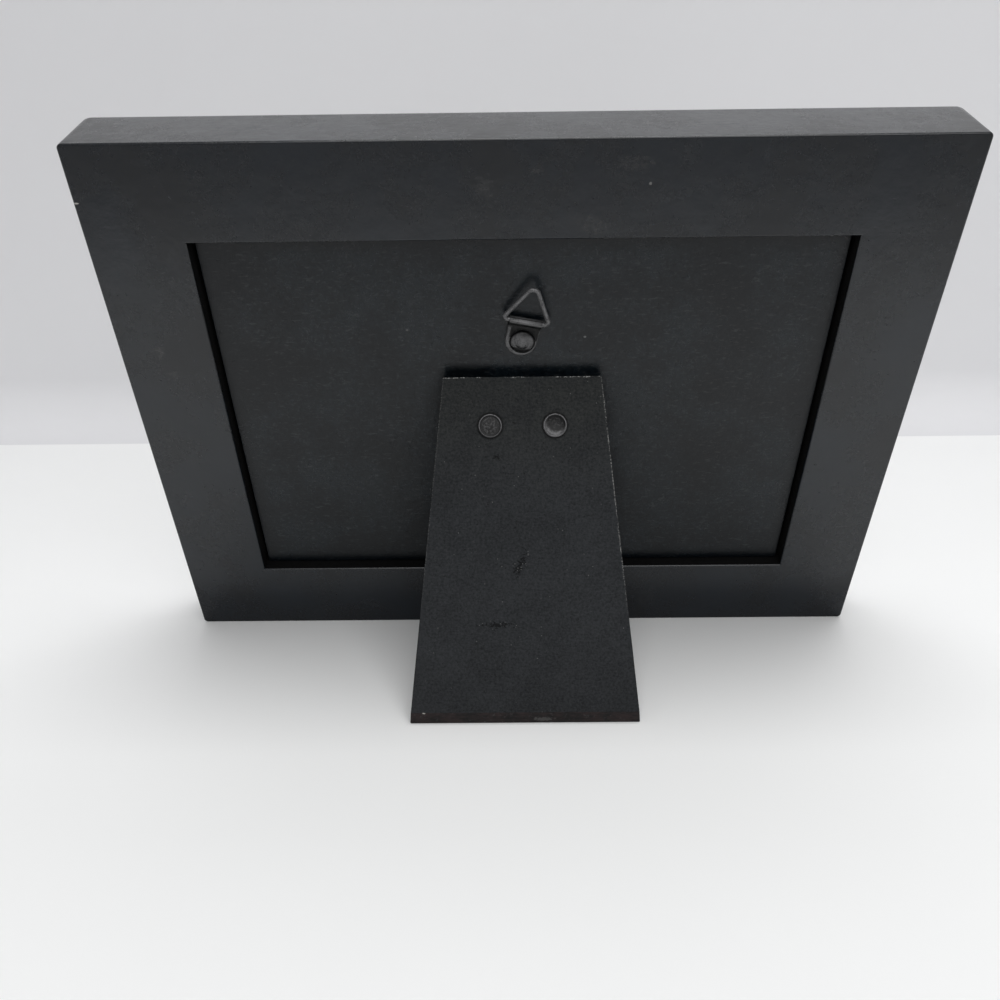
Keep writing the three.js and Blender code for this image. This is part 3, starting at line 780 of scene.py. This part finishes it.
panelShape = {
    "ease": 0.25,
    "steps": 3,
    "faced": 0.4,  # how far a face has to look out of the back to be black
}


def makePanel(shape):
    low, high = span("back_panel", backPlace)
    points, faces = [], []
    outline = rectangle(low.x, low.z, high.x, high.z)
    easedSlab(outline, high.y, low.y, shape["ease"], shape["steps"], points, faces)
    piece = makePiece("panel_board", points, faces, backPlace)
    settle(piece, "back", "black_board", ["back_panel"], boardFace, boardEdge)
    for face in piece.data.polygons:
        face.material_index = 0 if face.normal.y > shape["faced"] else 1


makePanel(panelShape)


# easel leg: a tapered board, its foot level with the table and bevelled behind
legShape = {
    "bevelDepth": 1.9,
    "bevelAngle": 30.0,
    "edge": 0.28,  # rounding of the cut edges
    "corner": 0.8,  # the same at the corners of its section, as a share
    "wander": 0.07,  # how far the cut wanders
    "sideWaves": 0.45,  # per mm
    "topWaves": 0.5,
    "topCut": 1.0,  # how far down the top's cut wanders
    "fill": 2.5,  # the top's height above the pin, over the longest gap between points
    "sawn": -0.3,  # how far a face has to look down to be bare board
    "near": 0.05,
    "columns": 36,
    "steps": 3,
}


def roundedOutline(corners, steps):  # each corner has its place and how far its bend reaches
    found = []
    for i, (corner, radius) in enumerate(corners):
        here, before = Vector(corner), Vector(corners[i - 1][0])
        after = Vector(corners[(i + 1) % len(corners)][0])
        enter = here + (before - here).normalized() * radius
        leave = here + (after - here).normalized() * radius
        for step in range(steps + 1):
            t = step / steps
            found.append(enter * (1 - t) ** 2 + here * 2 * t * (1 - t) + leave * t * t)
    return found


def filledOutline(outline, longest):  # more points along the long sides
    found = []
    for i, here in enumerate(outline):
        after = outline[(i + 1) % len(outline)]
        count = max(1, math.ceil((after - here).length / longest))
        found += [tuple(here.lerp(after, k / count)) for k in range(count)]
    return found


def legBoard(shape):  # widths and heights of the leg along its own axes
    low, high = span("leg", legPlace)
    tilt = legOpen - math.atan2(-backOut.z, backOut.y)
    footDepth = high.y - low.y - shape["bevelDepth"]
    topHalf = max(abs(point.x) for point in pointsOf("leg", legPlace) if point.z > high.z - shape["near"])
    return {
        "inner": low.y,
        "outer": high.y,
        "top": high.z,
        "topHalf": topHalf,
        "flare": (high.x - topHalf) / (high.z - low.z),
        "footDepth": footDepth,
        "footLow": low.z,
        "footHigh": low.z + footDepth * math.tan(tilt),
        "bevelTop": low.z + shape["bevelDepth"] / math.tan(math.radians(shape["bevelAngle"])),
        "studs": [sum(span(node, legPlace), Vector()) / 2 for node in ("leg_rivet_left", "leg_rivet_right")],
    }


def makeLeg(shape):
    board = legBoard(shape)
    corners = [  # (out, up), counter-clockwise seen from the +x side
        (board["inner"], board["top"]), (board["inner"], board["footHigh"]),
        (board["inner"] + board["footDepth"], board["footLow"]),
        (board["outer"], board["bevelTop"]), (board["outer"], board["top"]),
    ]
    edge, steps, columns, wander = (shape[key] for key in ("edge", "steps", "columns", "wander"))
    ends = [(edge - a, edge - b) for a, b in arc((0, 0), edge, 0, 90, steps)]  # (in from the side, shrunk)
    stations = [(-1, back, shrink) for back, shrink in ends]
    stations += [(2 * k / columns - 1, edge, 0.0) for k in range(1, columns)]
    stations += [(1, back, shrink) for back, shrink in reversed(ends)]
    rows = []
    for part, back, shrink in stations:
        section = [(corner, edge * shape["corner"]) for corner in insetOutline(corners, shrink)]
        row = []
        for out, up in filledOutline(roundedOutline(section, steps), board["top"] / shape["fill"]):
            x = part * (board["topHalf"] + board["flare"] * (board["top"] - up) - back)
            if abs(part) == 1:
                x += wander * noise.noise((part * 7.0, up * shape["sideWaves"], 1.0))
            if up > board["top"] - shape["topCut"]:
                up += wander * noise.noise((x * shape["topWaves"], 3.0, 5.0))
            row.append((x, out, up))
        rows.append(row)
    points, faces = [], []
    loft(rows, points, faces)
    piece = makePiece("easel_leg", points, faces, legPlace)
    settle(piece, "leg", "paper_faced_board", ["leg"],
           grainedPaper("grained_paper", paperLook, board), bevelledBoard("bevelled_board", footLook))
    for face in piece.data.polygons:
        under = face.normal.z < shape["sawn"] and face.center.z / mm < board["bevelTop"] - shape["near"]
        face.material_index = 1 if under else 0


makeLeg(legShape)


# rivets: head, shank and rolled tail, turned about the y axis, as (radius, height)
rivetShape = {
    "sides": 56,
    "shank": 1.5,
    "tail": ((0.0, 0.9), (0.75, 0.55), (1.1, 0.12), (1.4, 0.0), (1.95, 0.0), (2.22, 0.16), (2.3, 0.42),
             (2.18, 0.7), (1.5, 0.7)),
    "underHead": 2.6,  # outside this radius is the head alone
    "sink": 0.18,  # the head reaches down to the face it sits on
}
headRim = [(3.05, 0.0), (3.05, 0.20), (3.01, 0.32), (2.92, 0.41), (2.80, 0.45), (2.68, 0.43), (2.58, 0.36)]
flatHead = headRim + [(2.48, 0.33), (2.2, 0.335), (1.5, 0.36), (0.8, 0.38), (0.0, 0.385)]
dishedHead = headRim + [(2.48, 0.30), (2.2, 0.22), (1.8, 0.15), (1.3, 0.10), (0.7, 0.07), (0.0, 0.06)]
domeHead = [(2.96, 0.0), (2.96, 0.16), (2.91, 0.32), (2.78, 0.48), (2.53, 0.66), (2.2, 0.80),
            (1.92, 0.88), (1.72, 0.92), (1.58, 0.93), (1.47, 0.95), (1.37, 0.99), (1.26, 1.06),
            (1.1, 1.14), (0.86, 1.22), (0.5, 1.28), (0.2, 1.31), (0.0, 1.32)]
rivets = (
    ("leg_stud_left", "leg_rivet_left", "leg", legPlace, dishedHead, dishLacquer),
    ("leg_stud_right", "leg_rivet_right", "leg", legPlace, flatHead, flatLacquer),
    ("panel_stud_left", "panel_rivet_left", "back", hingePlace, flatHead, flatLacquer),
    ("panel_stud_right", "panel_rivet_right", "back", hingePlace, flatHead, flatLacquer),
    ("hanger_stud", "hanger_rivet", "back", strapPlace, domeHead, domeLacquer),
)


def makeRivet(name, node, body, place, head, finish, shape):
    low, high = span(node, place)
    place = place @ Matrix.Translation(Vector((low.x + high.x, 0.0, low.z + high.z)) / 2 * mm)
    seat = min(point.y for point in pointsOf(node, place) if point.xz.length > shape["underHead"])
    profile = [(radius, low.y + height) for radius, height in shape["tail"]]
    profile.append((shape["shank"], seat - shape["sink"]))
    profile += [(radius, seat + (height or -shape["sink"])) for radius, height in head]
    points, faces = [], []
    lathe(profile, shape["sides"], points, faces)
    settle(makePiece(name, points, faces, place, turnedSharp), body, "black_steel", [node], finish)


for rivet in rivets:
    makeRivet(*rivet, rivetShape)


# a strip bent about an axis that runs across, from the points of its outer and its inner skin
def curl(outer, inner, lowX, highX, points, faces, edge, most=0.4):  # most: share of the skin an end can lose
    rows = []
    for x, shrink in ((lowX, edge), (lowX + edge, 0.0), (highX - edge, 0.0), (highX, edge)):
        moved = []
        for a, b in zip(map(Vector, outer), map(Vector, inner)):
            inward = (b - a) * min(shrink / (b - a).length, most)
            moved.append((a + inward, b - inward))
        skin = [a for a, b in moved] + [b for a, b in reversed(moved)]
        rows.append([(x, y, z) for y, z in skin])
    first = len(points)
    loft(rows, points, faces, capped=False)
    count = len(rows[0])
    for base in (first, first + (len(rows) - 1) * count):
        for j in range(len(outer) - 1):
            faces.append((base + j, base + j + 1, base + count - 2 - j, base + count - 1 - j))


# hinge behind the leg: two leaves curled round one pin
hingeShape = {
    "leaf": 0.8,
    "ease": 0.15,
    "knuckle": 2.0,
    "knuckleEdge": 0.1,
    "gap": 0.4,
    "legKnuckle": 13.0,
    "wrap": 318.0,
    "steps": 44,
    "overlap": 0.5,  # of a knuckle's own strip with its leaf
    "stripEase": 0.04,
}


def makeLeaf(name, node, body, place, back, start, way, knuckles, shape):
    low, high = span(node, place)
    notch = -shape["knuckle"] - shape["gap"]
    front = back - shape["leaf"]
    skins = [arc((0.0, 0.0), radius, start, start + way * shape["wrap"], shape["steps"])
             for radius in (shape["knuckle"], shape["knuckle"] - shape["leaf"])]
    points, faces = [], []
    easedSlab(rectangle(low.x, low.z, high.x, notch), back, front, shape["ease"], 2, points, faces)
    for first, last in knuckles:
        strip = rectangle(first, notch - shape["overlap"], last, 0.0)
        easedSlab(strip, back, front, shape["stripEase"], 1, points, faces)
        curl(*skins, first, last, points, faces, shape["knuckleEdge"])
    settle(makePiece(name, points, faces, place), body, "black_steel", [node], lacquer)


def makeLeaves(shape):
    low, high = span("hinge_panel_leaf", hingePlace)
    tab = shape["legKnuckle"] / 2
    slot = tab + shape["gap"]
    makeLeaf("hinge_leaf_panel", "hinge_panel_leaf", "back", hingePlace, shape["leaf"] - shape["knuckle"],
             180.0, -1, ((low.x, -slot), (slot, high.x)), shape)
    makeLeaf("hinge_leaf_leg", "hinge_leg_leaf", "leg", legPlace, shape["knuckle"],
             0.0, 1, ((-tab, tab),), shape)


pinShape = {
    "shaft": 0.9,
    "head": ((0.0, 0.0), (0.55, 0.02), (0.9, 0.2), (1.0, 0.42), (1.0, 0.8)),  # share of its radius, inward
    "sides": 40,
}


def makePin(shape):
    end, _, head = span("hinge_pin", hingePlace)[1]
    half = [(head * share, end - inward) for share, inward in shape["head"]]
    half.append((shape["shaft"], half[-1][1]))
    profile = [(radius, -x) for radius, x in half] + [(radius, x) for radius, x in reversed(half)]
    points, faces = [], []
    lathe(profile, shape["sides"], points, faces)
    piece = makePiece("hinge_rod", [(y, x, z) for x, y, z in points], faces, hingePlace, turnedSharp)
    settle(piece, "back", "black_steel", ["hinge_pin"], lacquer)


makeLeaves(hingeShape)
makePin(pinShape)


# hanger: a stamped strap, dished round its stud and rolled at the top, and a wire ring in the roll
strapShape = {
    "half": 4.05,
    "aside": 0.3,  # the strap lies this far off its stud
    "floor": 0.8,
    "plateau": 1.12,
    "under": 0.05,
    "edge": 0.12,  # rounding of the lower edge and of the roll's ends
    "dish": ((0.4, 0.0), (3.05, 0.0), (3.12, 0.3), (3.19, 0.8), (3.25, 1.0)),  # radius, share of the rise
    "bead": ((0.76, 0.0), (0.62, 0.11), (0.44, 0.17), (0.24, 0.09),  # in from the edge, above the plateau
             (0.09, -0.16), (0.02, -0.42), (0.0, -0.66)),
    "beadWidth": 0.78,
    "meets": 5.0,  # how far up the plate runs into the roll
    "rollAxis": (1.58, 5.78),  # out of the panel, up from the stud
    "roll": 1.1,
    "bore": 0.74,
    "pressed": (54.5, 0.96, 14),  # the roll is pressed flat on one side: its direction, distance and crispness
    "seam": (69.0, 5.5, 0.17),  # the line along the roll: its direction, half its width in degrees, its depth
    "wrap": 292.0,
    "rollSteps": 146,
    "web": (4.4, 5.9),  # the strip between plate and roll, from and to
    "webUnder": 0.2,
    "webEase": 0.16,
    "turns": 120,
}


def strapReach(angle, shape):  # stud to the strap's outline in a direction, and how much that edge is beaded
    half, aside = shape["half"], shape["aside"]
    c, s = math.cos(angle), math.sin(angle)
    if s <= 0:
        return aside * c + math.sqrt(half ** 2 - (aside * s) ** 2), 1.0
    side = (math.copysign(half, c) + aside) / c if abs(c) > 1e-6 else 1e9
    top = shape["meets"] / s
    return (side, 1.0) if side <= top else (top, 0.0)


def rollSkins(shape):
    facing, distance, crisp = shape["pressed"]
    seamAt, seamHalf, seamDepth = shape["seam"]
    start, end, steps = 180.0, 180.0 - shape["wrap"], shape["rollSteps"]
    outer = []
    for step in range(steps + 1):
        angle = start + (end - start) * step / steps
        near = max(math.cos(math.radians(angle - facing)), 0.0) / distance
        radius = (shape["roll"] ** -crisp + near ** crisp) ** (-1 / crisp)
        radius -= seamDepth * max(1.0 - abs(angle - seamAt) / seamHalf, 0.0)
        outer += arc(shape["rollAxis"], radius, angle, angle, 1)[:1]
    return outer, arc(shape["rollAxis"], shape["bore"], start, end, steps)


def makeStrap(shape):
    half, aside, floor, plateau = (shape[key] for key in ("half", "aside", "floor", "plateau"))
    under, edge = shape["under"], shape["edge"]
    angles = {2 * math.pi * k / shape["turns"] for k in range(shape["turns"])}
    for corner in (math.atan2(shape["meets"], half + aside), math.atan2(shape["meets"], aside - half)):
        angles |= {corner, corner + math.copysign(1e-3, math.pi / 2 - corner)}
    places = [(angle, *strapReach(angle, shape)) for angle in sorted(angles)]
    # rows of (radius, height) from the hidden middle of the dish out over the bead and back underneath
    rows = [[(min(radius, reach - shape["beadWidth"]), floor + (plateau - floor) * rise)
             for _, reach, _ in places] for radius, rise in shape["dish"]]
    rows += [[(reach - inset, plateau + beaded * lift) for _, reach, beaded in places]
             for inset, lift in shape["bead"]]
    rows.append([(reach, under + edge) for _, reach, _ in places])
    rows.append([(reach - edge, under) for _, reach, _ in places])
    rows.append([(shape["dish"][0][0], under) for _ in places])
    points, faces = [], []
    loft([[(radius * math.cos(place[0]), height, radius * math.sin(place[0]))
           for (radius, height), place in zip(row, places)] for row in rows], points, faces, closed=True)
    curl(*rollSkins(shape), aside - half, aside + half, points, faces, edge)
    low, high = shape["web"]
    back = shape["rollAxis"][0] - shape["bore"]
    web = rectangle(aside - half, low, aside + half, high)
    easedSlab(web, back, shape["webUnder"], shape["webEase"], 3, points, faces)
    piece = makePiece("hanger_plate", points, faces, strapPlace, turnedSharp)
    settle(piece, "strap", "black_steel", ["hanger_strap"], strapLacquer)


ringShape = {
    "wire": 0.59,
    "bar": 4.8,
    "shoulder": (5.49, 0.87),
    "peak": (0.82, 9.78),
    "bends": (0.75, 0.7, 0.3),  # peak, shoulder and bar
    "steps": 12,
    "seam": 0.05,  # opening where the wire's two ends meet
    "sides": 20,
}


def makeRing(shape):
    right = list(zip((shape["peak"], shape["shoulder"], (shape["bar"], 0.0)), shape["bends"]))
    corners = right + [((-x, z), bend) for (x, z), bend in reversed(right)]
    top = shape["peak"][1]
    seam = shape["seam"] / 2
    path = [Vector((seam, top))] + roundedOutline(corners, shape["steps"]) + [Vector((-seam, top))]
    wire = arc((0.0, 0.0), shape["wire"], 0, 360 - 360 / shape["sides"], shape["sides"] - 1)
    rows = []
    last = len(path) - 1
    for i, here in enumerate(path):
        along = (path[min(i + 1, last)] - path[max(i - 1, 0)]).normalized()
        side = Vector((along.y, -along.x))
        rows.append([(here.x + side.x * a, b, here.y + side.y * a) for a, b in wire])
    points, faces = [], []
    loft(rows, points, faces)
    piece = makePiece("hanger_loop", points, faces, ringPlace, turnedSharp)
    settle(piece, "ring", "black_steel", ["hanger_ring"], wireLacquer)


makeStrap(strapShape)
makeRing(ringShape)


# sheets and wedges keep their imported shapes
kept = {
    "glass": clearGlass("clear_glass", glassLook),
    "print": plainPaper("plain_paper", sheetLook),
    "filler_card": brownCard("brown_card", cardLook),
}
steel = brightSteel("bright_steel", steelLook)
for node in frame["nodes"]:
    if node.startswith("v_nail"):
        kept[node] = steel
for node, finish in kept.items():
    data = frame["nodes"][node].data
    data.materials.clear()
    data.materials.append(finish)
print("packed pieces finished:", len(kept))


# pale floor, wall and soft studio light
stageLook = {
    "floor": paint(0.905, 0.91, 0.905),
    "floorAwayShadow": paint(0.34, 0.34, 0.345),  # painted shadow on the floor's far side, as the object sees it
    "away": (110.0, 210.0),
    "floorNearShadow": paint(0.50, 0.50, 0.505),  # painted shadow on the floor under the frame, as the object sees it
    "near": (-2.0, -12.0),
    "nearEnd": (-45.0, -30.0),
    "wall": paint(0.745, 0.745, 0.76),
    "wallAt": -222.0,
    "wallHeight": 900.0,
    "cove": 26.0,
    "coveSteps": 12,
    "coveLift": 0.1,
    "reach": 2600.0,
    "patches": 0.985,  # the darker patches of floor and wall, as a share
    "rough": 0.65,
    "gloss": 0.3,
    "world": paint(0.34, 0.34, 0.345),
    "lamps": {  # place, size, watts, turn about x in degrees
        "lamp_above": ((-80.0, 110.0, 1000.0), (520.0, 420.0), 4.2, 0.0),
        "lamp_fill": ((-150.0, 850.0, 700.0), (900.0, 700.0), 4.7, -50.0),
        "lamp_behind": ((0.0, -205.0, 360.0), (900.0, 240.0), 0.15, 90.0),
    },
}


def pale(f, colour, look):
    return f.mix(f.band(f.grain(0.006, 3.0), 0.3, 0.7), scaled(colour, look["patches"]), colour)


def matt(f, colour, look):
    return f.shade({"Base Color": colour, "Roughness": look["rough"], "Specular IOR Level": look["gloss"]})


def paleFloor(name, look):  # pale to the camera; to the object it shows painted shadow on the far side and under the frame
    f = Finish(name)
    y = f.axis("Y")
    unseen = 1.0 - f.node("ShaderNodeLightPath", out="Is Camera Ray")
    farShadow = f.band(y, *look["away"]) * unseen
    near = f.band(y, *look["near"]) * f.band(y, *look["nearEnd"]) * unseen
    colour = f.mix(farShadow, pale(f, look["floor"], look), look["floorAwayShadow"])
    return f.done(matt(f, f.mix(near, colour, look["floorNearShadow"]), look))


def paleWall(name, look):  # seen from its front alone
    f = Finish(name)
    shade = matt(f, pale(f, look["wall"], look), look)
    behind = f.node("ShaderNodeNewGeometry", out="Backfacing")
    clear = f.node("ShaderNodeBsdfTransparent", None, {"Color": paint(1.0, 1.0, 1.0)})
    return f.done(f.node("ShaderNodeMixShader", None, {0: behind, 1: shade, 2: clear}))


def makeStage(look):
    reach = look["reach"]
    corners = [(x, y, 0) for x, y in rectangle(-reach, -reach, reach, reach)]
    floor = makePiece("floor", corners, [(0, 1, 2, 3)], Matrix.Identity(4))
    floor.data.materials.append(paleFloor("pale_floor", look))
    cove, wallAt = look["cove"], look["wallAt"]
    profile = arc((wallAt + cove, cove + look["coveLift"]), cove, 270, 180, look["coveSteps"])
    profile.append((wallAt, look["wallHeight"]))
    points, faces = [], []
    for y, z in profile:
        points += [(reach, y, z), (-reach, y, z)]
    for i in range(len(profile) - 1):
        faces.append((2 * i, 2 * i + 1, 2 * i + 3, 2 * i + 2))
    wall = makePiece("wall", points, faces, Matrix.Identity(4))
    if wall.data.polygons[-1].normal.y < 0:
        wall.data.flip_normals()
    wall.data.materials.append(paleWall("pale_wall", look))

    for name, (at, size, watts, turn) in look["lamps"].items():
        lamp = bpy.data.lights.new(name, "AREA")
        lamp.shape = "RECTANGLE"
        lamp.size, lamp.size_y = (side * mm for side in size)
        lamp.energy = watts
        holder = bpy.data.objects.new(name, lamp)
        holder.location = Vector(at) * mm
        holder.rotation_euler = (math.radians(turn), 0.0, 0.0)
        holder.visible_camera = False
        bpy.context.scene.collection.objects.link(holder)

    world = bpy.data.worlds.new("room")
    world.use_nodes = True
    world.node_tree.nodes["Background"].inputs["Color"].default_value = look["world"]
    bpy.context.scene.world = world
    bpy.context.scene.view_settings.view_transform = "Standard"


makeStage(stageLook)
print("stage set")
